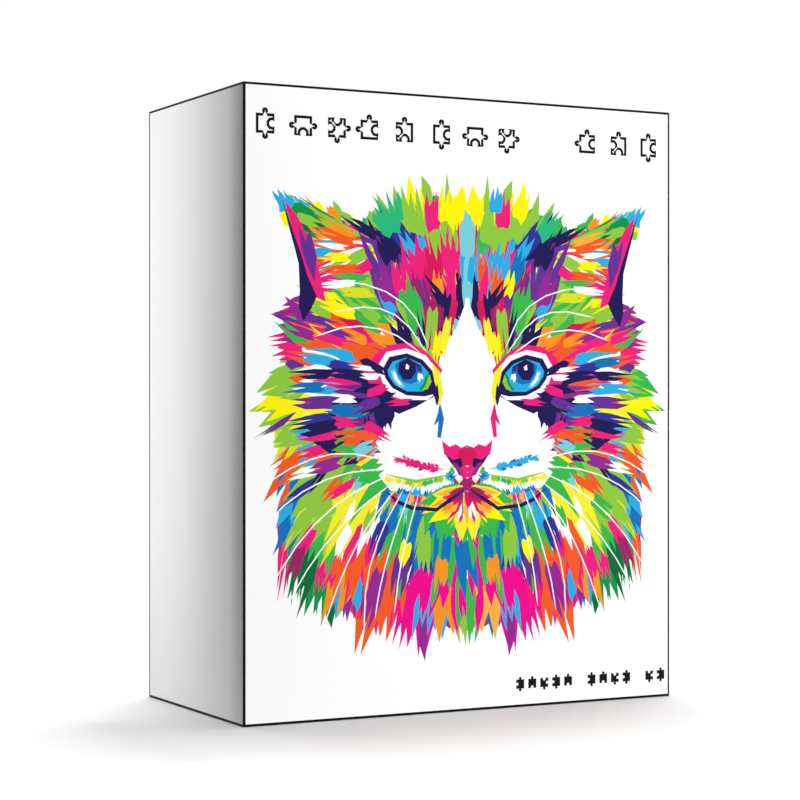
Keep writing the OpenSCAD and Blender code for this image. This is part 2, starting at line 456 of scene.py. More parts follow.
def stroke(line, width, cuts=0):
    """A thin line through a table of points, tapered to both ends, its corners cut so many times."""
    points = table(line)
    for _ in range(cuts):
        points = [points[0], *cut_corners(points), points[-1]]
    n = len(points)
    left, right = [], []
    for i, p in enumerate(points):
        c, s = toward(points[max(i - 1, 0)], points[min(i + 1, n - 1)])
        w = width / 2 * (0.15 if i in (0, n - 1) else 1)
        left.append((p[0] - s * w, p[1] + c * w))
        right.append((p[0] + s * w, p[1] - c * w))
    return left + right[::-1]


def cut_corners(points):
    """Two points on each part of a line, a quarter of the way from its ends."""
    for a, b in zip(points, points[1:]):
        for t in (0.25, 0.75):
            yield a[0] * (1 - t) + b[0] * t, a[1] * (1 - t) + b[1] * t


def along(line, t):
    """The point a share t of the way along the line, and the direction there."""
    lengths = [math.dist(a, b) for a, b in zip(line, line[1:])]
    far = t * sum(lengths)
    for a, b, run in zip(line, line[1:], lengths):
        if far <= run or b is line[-1]:
            u = far / run
            return (a[0] + (b[0] - a[0]) * u, a[1] + (b[1] - a[1]) * u), toward(a, b)
        far -= run


def fringes(rng, *rows):
    """Tufts along lines. Each row has a line, the side of it that they point to (1 is left, -1 right),
    how many, their length and width, the inks along the line, choices of tips, and slant."""
    shapes = []
    for line, side, count, length, width, inks, spikes, slant in rows:
        line, inks = table(line), inks.split()
        for k in range(count):
            at, (c, s) = along(line, (k + rng.uniform(0.2, 0.8)) / count)
            heading = turned((-s * side, c * side), slant + rng.uniform(-0.15, 0.15))
            ink = inks[int(k * len(inks) / count)] if rng.random() < 0.7 else rng.choice(inks)
            long, wide = length * rng.uniform(0.7, 1.1), width * rng.uniform(0.7, 1.3)
            shapes.append((ink, tuft(at, heading, long, wide, rng.choice(spikes), rng)))
    return shapes


# The fur's tufts stand on a grid, with its spacing and foot, and stray a little from it
FUR_ROWS, FUR_COLUMNS = 22, 11
FUR_ACROSS, FUR_DOWN, FUR_FOOT, FUR_STRAY = 9.0, 8.5, 34, 2
# How far a tuft starts behind its place on the grid, and how far ahead of it lies the ink that it takes
FUR_BACK, FUR_AHEAD = 6, 9
# Tufts are longer on the bib, which is below this height
BIB_Z = 75


def fur(rng):
    """Locks of fur over the whole head, the ones nearest to the nose on top."""
    places = []
    for row in range(FUR_ROWS):
        for column in range(FUR_COLUMNS):
            x = (column + row % 2 / 2) * FUR_ACROSS + rng.uniform(-FUR_STRAY, FUR_STRAY)
            z = FUR_FOOT + row * FUR_DOWN + rng.uniform(-FUR_STRAY, FUR_STRAY)
            if inside(max(x, 0.5), z, HEAD):
                places.append((x, z))
    places.sort(key=lambda place: -math.dist(place, (0, NOSE_Z)))
    shapes = []
    for x, z in places:
        heading = turned(flow(x, z), rng.uniform(-0.12, 0.12))
        ink = fur_ink(x + heading[0] * FUR_AHEAD, z + heading[1] * FUR_AHEAD, rng)
        at = (x - heading[0] * FUR_BACK, z - heading[1] * FUR_BACK)
        length = rng.uniform(0.8, 1.1) * (27 if z > BIB_Z else 30)
        size = length, rng.uniform(8, 13), rng.choice((2, 3, 3, 4))
        shapes.append((ink, tuft(at, heading, *size, rng, rng.uniform(-0.1, 0.1))))
        # A thin lock in another ink on top of some of them
        if rng.random() < 0.6:
            at = (x + rng.uniform(-5, 5), z + rng.uniform(-5, 5))
            heading = turned(heading, rng.uniform(-0.1, 0.1))
            ink = fur_ink(at[0] + rng.uniform(-8, 16), at[1] + rng.uniform(-12, 12), rng)
            size = rng.uniform(14, 26), rng.uniform(2, 4.5), rng.choice((1, 1, 2))
            shapes.append((ink, tuft(at, heading, *size, rng, rng.uniform(-0.1, 0.1))))
    return shapes


def strokes(rng, rows, middle=(0, 0), spikes=None):
    """Tufts from a table of ink, foot, point that it heads for, length and width."""
    shapes = []
    for ink, x, z, to_x, to_z, length, width in table(rows):
        tips = rng.choice(spikes) if spikes else 3 if width > 5 else 2 if width > 2.5 else 1
        at = (middle[0] + x, middle[1] + z)
        shapes.append((ink, tuft(at, toward((x, z), (to_x, to_z)), length, width, tips, rng)))
    return shapes


def patch(ink, outline, middle=(0, 0)):
    """A flat patch from a table of its corners."""
    return ink, [(middle[0] + x, middle[1] + z) for x, z in table(outline)]


def outer_fur(rng):
    """The fringe round the head, behind all the other fur, from the chin to the crown."""
    shapes = fringes(
        rng,
        ("0 50, 28 54, 50 60", -1, 13, 25, 9,
         "pink violet cyan orange magenta violet lime pink vermilion violet cyan", (1, 2, 3), -0.1),
        ("50 58, 68 68, 75 86", -1, 12, 29, 8,
         "vermilion cyan orange forest pine magenta maroon", (2, 3), -0.85)
    )
    shapes += strokes(rng, """
        magenta 80 88 86 46 44 6, maroon 82 92 86 60 30 5, pine 77 82 80 46 38 7, forest 72 76 75 44 32 6,
        vermilion 70 70 71 42 28 4, pine 66 64 68 40 24 5
    """)
    return shapes + fringes(
        rng,
        ("75 84, 76 98, 77 110", -1, 8, 24, 8, "blue cyan blue vermilion vermilion", (2, 3), -1.0),
        ("75 106, 79 124, 77 140", -1, 9, 19, 8, "vermilion chartreuse lime yellow lime", (2, 3), -0.5),
        ("76 138, 74 152, 71 168", -1, 9, 16, 8, "lime purple magenta violet magenta lime", (2, 3), -0.35),
        ("56 195, 44 204, 28 210, 12 212, 0 210", 1, 20, 13, 8,
         "lime lime teal lime teal green teal yellow yellow magenta yellow cyan", (2, 3), 0.25),
        ("58 190, 46 200, 30 207, 12 209, 0 207", 1, 22, 13, 10,
         "lime teal lime lime green teal lime yellow lime yellow yellow", (2, 3), 0.3)
    )


def marks(rng):
    """The darker bars across the cheek, and the bright flames of the forehead."""
    return strokes(rng, """
        cyan 52 146 82 149 24 5, white 60 144 80 149 16 4, royal 52 141 76 146 20 4,
        navy 46 138 74 141 24 4, magenta 50 134 74 137 22 4, purple 40 131 66 134 26 5,
        white 52 129 72 130 17 3.4, blue 46 124 72 125 25 5, magenta 50 119 74 121 22 4,
        purple 38 120 60 120 22 4, vermilion 46 114 68 115 20 4, navy 60 108 80 121 22 5,
        cyan 68 114 84 116 15 4, green 50 108 66 108 16 5, magenta 66 109 84 106 14 4,
        white 68 101 84 98 16 4, navy 62 139 88 139 22 4, blue 64 134 88 133 22 4,
        purple 60 128 86 127 24 5, royal 62 122 86 119 22 4, magenta 60 115 82 113 20 4,
        cyan 62 144 84 147 19 4, navy 60 119 84 114 22 5, violet 58 104 80 98 20 5,
        magenta 56 152 78 158 22 5, vermilion 52 157 72 166 21 5, lime 62 163 80 170 18 5,
        crimson 46 156 64 166 20 4, yellow 52 163 70 168 18 5, violet 70 154 84 158 15 4,
        royal 70 96 86 86 18 4, sun 56 90 74 78 22 6, magenta 52 96 70 86 18 3.4, lime 60 88 78 74 22 6,
        lime 72 84 84 68 20 6, royal 38 80 46 62 20 6, magenta 70 78 82 60 22 5, white 54 78 64 62 18 4,
        maroon 76 70 83 50 20 5, purple 30 66 34 46 20 7, pink 20 60 23 40 20 8, violet 40 60 46 42 19 7,
        lime 40 160 54 170 18 5, orange 46 152 62 158 17 4, lime 20 74 21 54 18 6, yellow 28 72 32 54 15 5,
        orange 12 64 13 46 17 6, green 60 174 76 176 17 5, purple 66 158 50 152 16 3,
        purple 74 162 56 158 18 3, lime 16 186 18 206 20 9, lime 8 188 8 206 18 7, green 28 166 30 186 20 7,
        magenta 20 180 24 200 19 8, magenta 9 178 12 198 20 8, maroon 24 172 28 190 17 6,
        crimson 17 172 19 190 18 6, amber 12 173 14 192 18 7, purple 19 162 24 182 22 7,
        navy 12 156 8 176 16 4, magenta 5 166 6 184 16 5, crimson 16 150 17 170 22 7,
        purple 22 160 23 178 16 5, navy 27 150 34 168 18 5
    """)


def ear(rng):
    """The ear, from its tip tuft down to the fur over its foot."""
    shapes = [patch("magenta", "48 198, 66 204, 84 209, 80 194, 76.5 183, 73 170, 58 174, 44 182")]
    shapes += fringes(
        rng,
        ("52 199, 66 203, 80 206", 1, 9, 10, 3, "lime orange yellow lime yellow", (1, 2), -0.95),
        ("72 203, 84 206", 1, 6, 9, 3.4, "cyan ice cyan cyan", (1, 2), -0.75),
        ("83 208, 81 198", 1, 4, 6, 3.4, "cyan cyan yellow yellow", (1,), 0.5)
    )
    rays = """pine lime forest lime green orange vermilion amber vermilion white cyan yellow vermilion
        orange magenta vermilion white magenta green white lime""".split()
    # The rays run from the ear's foot to its outer edge, which goes down from the tip
    root = (43, 190)
    for k, ink in enumerate(rays):
        t = k / (len(rays) - 1)
        edge = (80 - 6 * t, 205 - 30 * t)
        heading = turned(toward(root, edge), rng.uniform(-0.06, 0.06))
        reach = math.dist(root, edge)
        start = rng.uniform(0.0, 0.3)
        at = (root[0] + heading[0] * reach * start, root[1] + heading[1] * reach * start)
        size = reach * rng.uniform(0.85, 1.05) * (1 - start), rng.uniform(4, 7), rng.choice((2, 2, 3))
        shapes.append((ink, tuft(at, heading, *size, rng, rng.uniform(-0.08, 0.08))))
    shapes += strokes(rng, """
        pine 81 205 66 196 19 9, lime 79 202 60 197 17 4, forest 80 199 68 193 12 4,
        vermilion 50 192 70 197 23 5, orange 52 195 70 201 18 3, white 56 190 72 191 14 2.4,
        cyan 72 188 58 187 15 3, yellow 54 186 72 186 17 3.4, vermilion 50 182 70 180 22 3.6,
        white 52 176 70 174 20 3, green 46 178 66 179 20 2.6, chartreuse 44 172 66 172 20 4
    """)
    shapes.append(patch("magenta", """83 208, 80 197, 76 186, 72.5 176, 70 170, 65 168, 68 180, 72 191,
        77 201"""))
    shapes.append(patch("navy", """84 208, 82 200, 79 190, 77 183, 76.5 172, 77 166, 75 160, 71.5 165,
        69 170, 73 178, 76 187, 80 197"""))
    shapes.append(patch("purple", "77 198, 74 192, 72 197, 69 186, 70 176, 74 184, 76 190"))
    shapes += strokes(rng, """
        navy 30 186 46 202 24 8, purple 36 178 48 198 26 9, royal 26 190 38 204 20 7,
        purple 38 192 56 200 18 6, navy 40 194 62 205 22 4, cyan 24 186 31 198 15 5,
        violet 36 168 42 186 20 7, navy 36 184 42 196 16 5, royal 22 192 28 206 16 5,
        cyan 20 190 24 200 12 3
    """)
    return shapes


def muzzle(rng):
    """The white blaze and muzzle, with coloured fur combed into their edge."""
    shapes = [patch("white", """0 171, 3 164, 5.5 158, 9 153, 13 146, 15 138, 16 130, 24 126, 32 123, 40 117,
        44 108, 42 99, 36 92, 22 90, 8 92, 0 95, -1 95, -1 171""")]
    shapes += strokes(rng, """
        crimson 6 172 10 150 20 4, navy 9 174 14 150 24 4.5, sun 9 162 13 142 19 3.5,
        lime 16 168 18 146 22 5, yellow 14 156 16 138 16 3, maroon 12 168 14 152 14 2.4
    """)
    return shapes + fringes(
        rng,
        ("36 131, 48 121", -1, 6, 15, 4, "navy purple navy violet navy", (1, 2, 2), 0.55),
        ("48 121, 52 108", -1, 6, 16, 4, "magenta vermilion orange purple ice", (1, 2, 2), 0.1),
        ("52 109, 49 96", -1, 6, 14, 4, "ice vermilion sun green lime", (1, 2, 2), -0.25)
    )


def eye(rng):
    """The lids, the iris with its lights, and the dark fur at the outer corner."""
    middle = (27.8, 139.2)
    shapes = [patch(ink, outline, middle) for ink, outline in (
        ("magenta", "20 1, 15 8, 8 12, -2 13, -9 9, -16 2, -12 -8, 6 -12, 16 -8"),
        ("white", "14 3, 10 9, 1 10.6, -8 8, -13.5 2, -14 -7, -9 -10.5, 2 -10.5, 10 -8"),
        ("sun", "-11 5, -15 1, -16.5 -8, -14.5 -13, -12 -9, -12 -2"),
        ("navy", """11.6 2.2, 8.6 7, 0.5 8.6, -6.8 6, -11.4 1.4, -12.6 -4.4, -13.6 -12, -11.6 -8.2,
            -7.6 -9, 0.6 -8.6, 7.2 -5.6, 10.4 -1.6"""),
        ("cyan", "9.4 1.6, 7 5.2, 0.4 6.8, -5.6 4.6, -9.6 0.8, -10.2 -4, -6.8 -7, 0.4 -7, 6 -4.4, 8.8 -0.8"),
        ("blue", "6 4, 2.4 6.2, -3 5.2, -6.2 3.6, -6.8 0, -5 -2.4, -1.6 -4, 2.4 -3.2, 4.8 0"),
        ("royal", "-3 5.2, -6.2 3.6, -6.6 1.2, -4.4 1.6"),
        ("pine", "-9.6 0.8, -8 -1, -7.4 -3.6, -5 -6, -7 -7.2, -10.2 -4.4"),
        ("lime", "-10 0.2, -9 -1.8, -8.4 -4, -6.4 -6.6, -9.2 -6, -11 -3"),
        ("ice", "8 1.4, 6.2 2.2, 4.8 -1.4, 1.2 -5.2, 3.6 -5.4, 6.8 -2.4"),
        ("navy", "4.2 4.6, 0.2 6.8, -3.4 4.8, -3.8 1, -1.4 -2, 2.2 -2.2, 4.4 1"),
        ("white", "7 0.8, 6 1.2, 4.8 -1.6, 2.6 -4.2, 3.8 -4.4, 6.2 -1.8"),
        ("white", "-4.6 0.6, -6.6 0.2, -7.2 -2, -5.8 -1.6, -5.6 -3.2, -4.4 -2"),
        ("white", "0.8 4.4, -0.6 3.4, -0.2 2, 1.2 2.2"),
    )]
    return shapes + strokes(rng, """
        navy 11 1 22 6 17 3.4, navy 8 -6 24 -6 20 4.2, white 13 -1 22 -1 11 2.6, magenta 10 -5 20 -9 14 3.6,
        navy 6 -9 20 -12 17 4, purple 12 -10 26 -15 18 4, magenta -2 -11 10 -12 14 2.6, white 16 2 26 3 12 2,
        navy -13 -4 -14 -15 13 1.8
    """, middle, (1, 2))


def snout(rng):
    """Nose, mouth, whisker pads and chin, down the middle of the face."""
    shapes = fringes(
        rng, ("38 98, 24 95, 9 98", 1, 18, 3.6, 1.8, "sun lime chartreuse green lime", (1, 2), 0.4)
    )
    shapes.append(("lime", stroke("38 98.5, 24 95.4, 9 98", 1.4)))
    shapes += fringes(
        rng,
        ("6 104, 10 98, 6 93", -1, 8, 4, 2, "sun teal blue cyan", (1, 2), 0.2),
        ("2 93, 16 88, 34 90", 1, 16, 5, 2, "violet blue teal cyan blue", (1, 2), 0.3),
        ("2 93, 16 89, 34 91", -1, 18, 7, 2.4, "orange vermilion amber magenta cyan", (1, 2), 0.2)
    )
    # Fans of fur under the mouth, the longest at the back
    for radius, count, width, inks in (
        (24, 9, 7, "blue green lime green royal"), (22, 8, 6, "sun yellow sun"),
        (17, 8, 5, "orange amber orange magenta"), (11, 6, 4.5, "crimson maroon crimson"),
    ):
        for k in range(count):
            a = math.radians(-90 + 88 * (k + rng.uniform(0.1, 0.9)) / count)
            ink = rng.choice(inks.split())
            size = radius * rng.uniform(0.85, 1.1), width, rng.choice((1, 2))
            shapes.append((ink, tuft((0.5, 91), (math.cos(a), math.sin(a)), *size, rng)))
    shapes += strokes(rng, "white 2 86 6 76 10 1.6, white 1 85 2 76 8 1.4")
    shapes.append(("navy", stroke("0 92.5, 9 87, 14.5 83.6, 26 84.6, 32 87, 38 91.5", 1.6)))
    shapes += [patch(ink, outline) for ink, outline in (
        ("maroon", "0 99, 2.6 99, 2 92, 0 91"),
        ("magenta", """0 110, 3 109, 5.5 110.5, 8.5 109.5, 12 112, 11 106.5, 7.5 103.6, 4.6 99.5, 2 96.5,
            0 96"""),
        ("crimson", "0 109.2, 3.2 108.2, 5 106, 3.4 102.6, 0 101"),
        ("navy", "10.6 106.6, 7 104, 3 104.8, 2.2 101.6, 5 99.6, 8 103"),
        ("violet", "7.2 103, 4.6 102.4, 3.4 99.6, 1.6 97, 4 97.6"),
    )]
    return shapes


def nose_lines(rng):
    """The lines beside the nose and on the whisker pads, in other inks on each side."""
    shapes = []
    for way, beside, pad in ((-1, "blue", "magenta crimson magenta"), (1, "magenta", "cyan blue cyan")):
        half = fringes(rng, ("33 105, 24 102.6, 13 100.4", 1, 13, 4.2, 1.5, pad, (1, 1, 2), 1.0),
                       ("30 104.6, 22 102.4, 13 100.6", -1, 9, 3.2, 1.3, pad, (1,), -1.0))
        half.append((pad.split()[0], stroke("35 105.8, 26 103, 18 101.2, 11 100", 1.3)))
        half.append(patch(beside, "13 128, 11 121, 12.5 113, 14.2 113.5, 13.6 120, 16 118, 14 123"))
        shapes += [(ink, [(way * x, z) for x, z in points]) for ink, points in half]
    return shapes


def forehead(rng):
    """The patches over the brows, warm on one side and cool on the other, and the tips of the crown."""
    return strokes(rng, """
        magenta -24 176 -28 196 22 9, crimson -14 178 -18 198 20 7, magenta -8 182 -10 200 18 7,
        teal -34 196 -46 210 19 8, teal -30 200 -36 214 17 7, lime -24 196 -27 214 22 9,
        magenta -16 198 -17 214 19 7, yellow -10 200 -9 216 20 8, cyan 7 178 10 198 20 8,
        cyan 15 178 18 198 19 8, blue 22 178 27 194 18 6, yellow 19 172 22 186 13 5,
        vermilion 13 170 14 186 17 6, purple 30 170 33 188 18 7, magenta -31 172 -34 190 18 6,
        maroon -24 168 -26 182 15 6, lime 10 192 12 210 20 9, lime 21 194 26 210 20 9,
        magenta 17 200 17 216 17 7, cyan 13 206 15 218 14 6, yellow 24 204 29 218 15 7,
        teal 35 197 45 210 18 7, vermilion 8 174 7 192 18 5, orange -13 170 -14 188 15 6,
        green -23 157 -29 184 27 8, green 23 157 29 184 27 8, maroon -13 158 -19 180 22 6,
        crimson 13 158 18 180 20 5, navy -5 161 -22 181 27 4.5, navy 5 161 23 183 28 4.5,
        magenta -5 167 -14 184 18 4.5, cyan 6 168 13 184 15 3.5, crimson -15 150 -19 170 21 6,
        crimson 15 150 19 170 21 6, navy -20 149 -23 168 20 3, navy 20 149 23 168 20 3
    """)


def flame(rng):
    """The pale flame down the middle of the forehead, between dark stripes."""
    shapes = []
    for ink, x, z, length, width, aside in table("""
        navy 4 163 25 4.5 -0.08, magenta 7 168 18 4 0.1, ice 0 166 40 4.5 0.03, cyan 1 176 24 3 0.12,
        ice 0 187 23 6.5 0.04, yellow 3 204 14 7 0.1
    """):
        shapes.append((ink, tuft((x, z), (aside, 1), length, width, 1, rng)))
    return shapes


WHISKERS = (
    "36 104, 58 108, 76 104, 94 94", "37 101, 60 99, 80 90, 95 76", "37 98, 56 90, 74 76, 90 54",
    "35 95, 54 82, 70 66, 84 44", "33 93, 48 76, 58 58, 66 38", "30 92, 40 76, 47 56, 48 34",
    "27 91, 34 74, 40 56, 43 40", "23 90, 28 74, 32 58, 34 42", "18 150, 26 166, 42 175, 64 177",
    "19 148, 30 162, 44 167, 62 164", "22 148, 36 157, 54 159, 70 154",
)
WHISKER_WIDTH = 0.55

# The parts of the face from the back to the front, each with the seed of its random draws
PARTS = ((outer_fur, 21), (fur, 7), (marks, 13), (ear, 11), (forehead, 15), (flame, 3), (muzzle, 5),
         (snout, 9), (nose_lines, 6), (eye, 2))
# Parts drawn once over the whole face, where the others are drawn on one half and mirrored
WHOLE = (forehead, nose_lines)
# Parts in which some inks on the right side differ from those on the left
UNEVEN = (outer_fur, fur, marks, ear)
SWAP = {"magenta": "vermilion", "vermilion": "magenta", "lime": "green", "blue": "cyan", "cyan": "blue",
        "purple": "violet", "violet": "magenta", "yellow": "lime", "orange": "amber"}


def mirrored(points):
    return [(-x, z) for x, z in points]


def picture():
    """Every shape of the picture from the back to the front, as (ink, points in millimetres)."""
    layers = []
    swap = random.Random(4)
    for part, seed in PARTS:
        shapes = part(random.Random(seed))
        if part in WHOLE:
            layers += shapes
            continue
        share = 0.2 if part in UNEVEN else 0
        layers += [(ink, mirrored(points)) for ink, points in shapes]
        layers += [(SWAP.get(ink, ink) if swap.random() < share else ink, points) for ink, points in shapes]
    for whisker in WHISKERS:
        hair = stroke(whisker, WHISKER_WIDTH, 1)
        layers += [("white", mirrored(hair)), ("white", hair)]
    return layers


# ---- Mesh tools ------------------------------------------

class Skin:
    """Faces gathered in millimetres. Equal points are shared, and each face has a material's name."""

    def __init__(self):
        self.points = []
        self.known = {}
        self.faces = []
        self.inks = []
        self.matrix = Matrix.Identity(4)

    def point(self, place):
        """The number of a point, which is moved by the skin's matrix."""
        moved = tuple(round(c, 5) for c in self.matrix @ Vector(place))
        if moved not in self.known:
            self.known[moved] = len(self.points)
            self.points.append(moved)
        return self.known[moved]

    def face(self, corners, ink):
        ring = [self.point(c) for c in corners]
        ring = [v for k, v in enumerate(ring) if v != ring[k - 1]]
        if len(set(ring)) > 2:
            self.faces.append(ring)
            self.inks.append(ink)

    def loft(self, rings, ink_of):
        """Faces from each ring of points to the next, seen from outside where the rings run
        anticlockwise from above and go down. ink_of takes the numbers of ring and segment."""
        for j, (a, b) in enumerate(zip(rings, rings[1:])):
            for k in range(len(a)):
                after = (k + 1) % len(a)
                self.face((a[k], b[k], b[after], a[after]), ink_of(j, k))

    def make(self, name, body, node_names, crease=35):
        """The object made of these faces, riding on a body in place of CAD nodes."""
        mesh = bpy.data.meshes.new(name)
        mesh.from_pydata([[c * MM for c in p] for p in self.points], [], self.faces)
        used = sorted(set(self.inks))
        for ink in used:
            mesh.materials.append(MATERIALS[ink])
        mesh.polygons.foreach_set("material_index", [used.index(ink) for ink in self.inks])
        mesh.polygons.foreach_set("use_smooth", [True] * len(self.faces))
        mesh.set_sharp_from_angle(angle=math.radians(crease))
        mesh.validate()
        piece = add_to_scene(name, mesh)
        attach(piece, body)
        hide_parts(*node_names)
        return piece


def offset_ring(ring, out):
    """A ring of points, drawn anticlockwise, moved outwards, and less so at its sharpest corners."""
    moved = []
    for k, p in enumerate(ring):
        before = toward(ring[k - 1], p)
        after = toward(p, ring[(k + 1) % len(ring)])
        x, y = before[1] + after[1], -before[0] - after[0]
        share = out / max(0.35, (x * x + y * y) / 2)
        moved.append((p[0] + x * share, p[1] + y * share))
    return moved


def top_inks(shapes, x, y, ground):
    """The ink of the topmost shape at each point."""
    inks = np.full(len(x), ground, dtype=object)
    for ink, ring in shapes:
        xs, ys = [p[0] for p in ring], [p[1] for p in ring]
        near = np.nonzero((x > min(xs)) & (x < max(xs)) & (y > min(ys)) & (y < max(ys)))[0]
        if len(near):
            inks[near[inside(x[near], y[near], ring)]] = ink
    return inks


def triangulate(points, edges, ring):
    """Triangles between the edges and inside the ring, and their middles."""
    found, _, triangles = geometry.delaunay_2d_cdt([Vector(p) for p in points], edges, [], 0, 1e-4)[:3]
    found = np.array([tuple(p) for p in found])
    triangles = np.array([tuple(t) for t in triangles])
    middles = found[triangles].mean(axis=1)
    kept = inside(middles[:, 0], middles[:, 1], ring)
    return found, triangles[kept], middles[kept]


def flatten(shapes, ring, ground="white"):
    """Overlapping shapes as triangles side by side, inside a ring: points, triangles and their inks."""
    low, high = np.min(ring, axis=0), np.max(ring, axis=0)
    near = [(ink, points) for ink, points in shapes
            if (np.max(points, axis=0) > low).all() and (np.min(points, axis=0) < high).all()]
    points, edges = [], []
    for outline in [ring] + [s[1] for s in near]:
        start, count = len(points), len(outline)
        points += outline
        edges += [(start + k, start + (k + 1) % count) for k in range(count)]
    found, triangles, middles = triangulate(points, edges, ring)
    inks = top_inks(near, middles[:, 0], middles[:, 1], ground)
    sides = {}
    for triangle, ink in zip(triangles, inks):
        for k in range(3):
            a, b = int(triangle[k - 1]), int(triangle[k])
            sides.setdefault((min(a, b), max(a, b)), []).append(ink)
    borders = [edge for edge, both in sides.items() if len(both) == 1 or both[0] != both[1]]
    # Again with only the borders between inks, so that each ink keeps few and large triangles
    found, triangles, middles = triangulate(found, borders, ring)
    return found, triangles, top_inks(near, middles[:, 0], middles[:, 1], ground)


def rim_of(triangles):
    """The points round the edge of a patch of triangles, in order."""
    following = {}
    for triangle in triangles:
        for k in range(3):
            following[(int(triangle[k]), int(triangle[(k + 1) % 3]))] = True
    after = {a: b for a, b in following if (b, a) not in following}
    first = next(iter(after))
    rim = [first]
    while after[rim[-1]] != first:
        rim.append(after[rim[-1]])
    return rim


def add_plate(skin, shapes, ring, thick, edge_ink, back_ink, bevel):
    """A flat plate with the picture on its upper face, bent down at the edge as a die leaves it."""
    points, triangles, inks = flatten(shapes, offset_ring(ring, -bevel))
    for triangle, ink in zip(triangles, inks):
        skin.face([(*points[v], thick) for v in triangle], ink)
    rim = [tuple(points[v]) for v in rim_of(triangles)]
    half = [((a[0] + b[0]) / 2, (a[1] + b[1]) / 2) for a, b in zip(rim, rim[1:] + rim[:1])]
    rim_inks = top_inks(shapes, np.array([p[0] for p in half]), np.array([p[1] for p in half]), "white")
    sides = ((0, thick), (bevel * 0.7, thick - bevel * 0.3), (bevel, thick - bevel), (bevel, bevel / 2),
             (bevel / 2, 0))
    rings = [[(*p, height) for p in offset_ring(rim, out)] for out, height in sides]
    skin.loft(rings, lambda j, k: rim_inks[k] if j < 2 else edge_ink)
    skin.face(rings[-1][::-1], back_ink)


# ---- Printed panel ---------------------------------------

def jigsaw_outline(middle, body, sides, steps=7):
    """A square jigsaw piece. sides has 1 for a knob, -1 for a socket and 0 for a straight side."""
    radius = body * 0.17
    ring = []
    for k, knob in enumerate(sides):
        along_side, outward = turned((1, 0), k * math.pi / 2), turned((0, -1), k * math.pi / 2)
        path = [(-body / 2, body / 2)]
        if knob:
            # Most of a circle, open towards the side that it stands on
            for step in range(steps + 1):
                a = math.radians(-230 + 280 * step / steps)
                path.append((radius * math.cos(a), body / 2 + knob * radius * (0.7 - math.sin(a))))
        for u, v in path:
            ring.append((middle[0] + along_side[0] * u + outward[0] * v,
                         middle[1] + along_side[1] * u + outward[1] * v))
    return ring


# Large icons: their places from the left edge, height, size, line and kinds of sides
ICON_PLACES = (9.4, 26, 41, 55.5, 71.6, 88.8, 104.7, 119.9, 159.5, 175.5, 190.8)
ICON_Z, ICON_BODY, ICON_LINE = 238, 8, 1.15
ICON_SIDES = ((1, -1, 1, 0), (-1, 1, 0, 1), (1, 1, -1, -1), (0, -1, 1, 1), (-1, 0, 1, -1))
# Small icons: three groups on an even pitch
SMALL_PLACES = (0, 1, 2, 3, 4, 6, 7, 8, 9, 11, 12)
SMALL_X, SMALL_PITCH, SMALL_Z, SMALL_BODY = 25.4, 5.9, 9.6, 3.9
SMALL_SIDES = ((1, 0, 1, -1), (-1, 0, 1, 0), (1, -1, -1, 0))


def icon_rows():
    """The row of large icons above the picture in a black line, and the row of small black ones under it."""
    shapes = []
    for k, place in enumerate(ICON_PLACES):
        sides = ICON_SIDES[k % len(ICON_SIDES)]
        ring = jigsaw_outline((BOX_LOW.x + place, ICON_Z), ICON_BODY, sides)
        shapes += [("black", ring), ("white", offset_ring(ring, -ICON_LINE))]
    for k in SMALL_PLACES:
        sides = SMALL_SIDES[k % len(SMALL_SIDES)]
        shapes.append(("black", jigsaw_outline((SMALL_X + SMALL_PITCH * k, SMALL_Z), SMALL_BODY, sides)))
    return shapes


# ---- Lid and base ----------------------------------------
# A tray is drawn seen from outside its panel: x to the right, z up, and its depth away from the eye.

# Radius of the edges round the panel and of the rim
EDGE = 0.45
RIM_EDGE = 0.4
# Width of the black line on the panel and along the walls' corners, on the walls' front, and at the rim
KEYLINE = 0.6
SIDE_LINE = 0.1
RIM_LINE = 1.0
# Points of a ring at each corner
CORNER_POINTS = 7


def tray_ring(size, inset, corner, depth, line=KEYLINE):
    """A rectangle with round corners, and with a point at the keyline's end on each side of them."""
    half_w, half_h = size[0] / 2 - inset - corner, size[2] / 2 - inset - corner
    ring = []
    for k, (right, up) in enumerate(CORNERS):
        start = (k - 1) * math.pi / 2
        arc = [turned((corner, 0), start + step * math.pi / 8) for step in range(5)]
        before, after = turned((0, -line), start), turned((-line, 0), start)
        arc = [(arc[0][0] + before[0], arc[0][1] + before[1])] + arc
        arc += [(arc[-1][0] + after[0], arc[-1][1] + after[1])]
        ring += [(right * half_w + x, up * half_h + z + size[2] / 2, -depth) for x, z in arc]
    return ring


def tray_rings(size, turn_in):
    """The wrap's outside from its panel to the rim, its turned-in part, and its underside."""
    depth, inner = size[1], WALL + PAPER
    quarter = [step * math.pi / 8 for step in range(1, 5)]
    outside = [tray_ring(size, EDGE, 0, 0)]
    outside += [tray_ring(size, EDGE * (1 - math.sin(a)), EDGE * math.sin(a), EDGE * (1 - math.cos(a)))
                for a in quarter]
    outside += [tray_ring(size, 0, EDGE, y) for y in (EDGE + SIDE_LINE, depth - RIM_EDGE - RIM_LINE)]
    rim = [(RIM_EDGE * (1 - math.cos(a)), depth - RIM_EDGE * (1 - math.sin(a))) for a in [0] + quarter]
    rings = outside + [tray_ring(size, inset, EDGE - inset, y) for inset, y in rim]
    folded_in = [(inner - inset, y) for inset, y in rim[::-1]]
    folded_in += [(inner, depth - turn_in), (WALL, depth - turn_in), (WALL, depth - PAPER),
                  (PAPER, depth - PAPER), (PAPER, PAPER)]
    return rings + [tray_ring(size, inset, 0, y) for inset, y in folded_in]


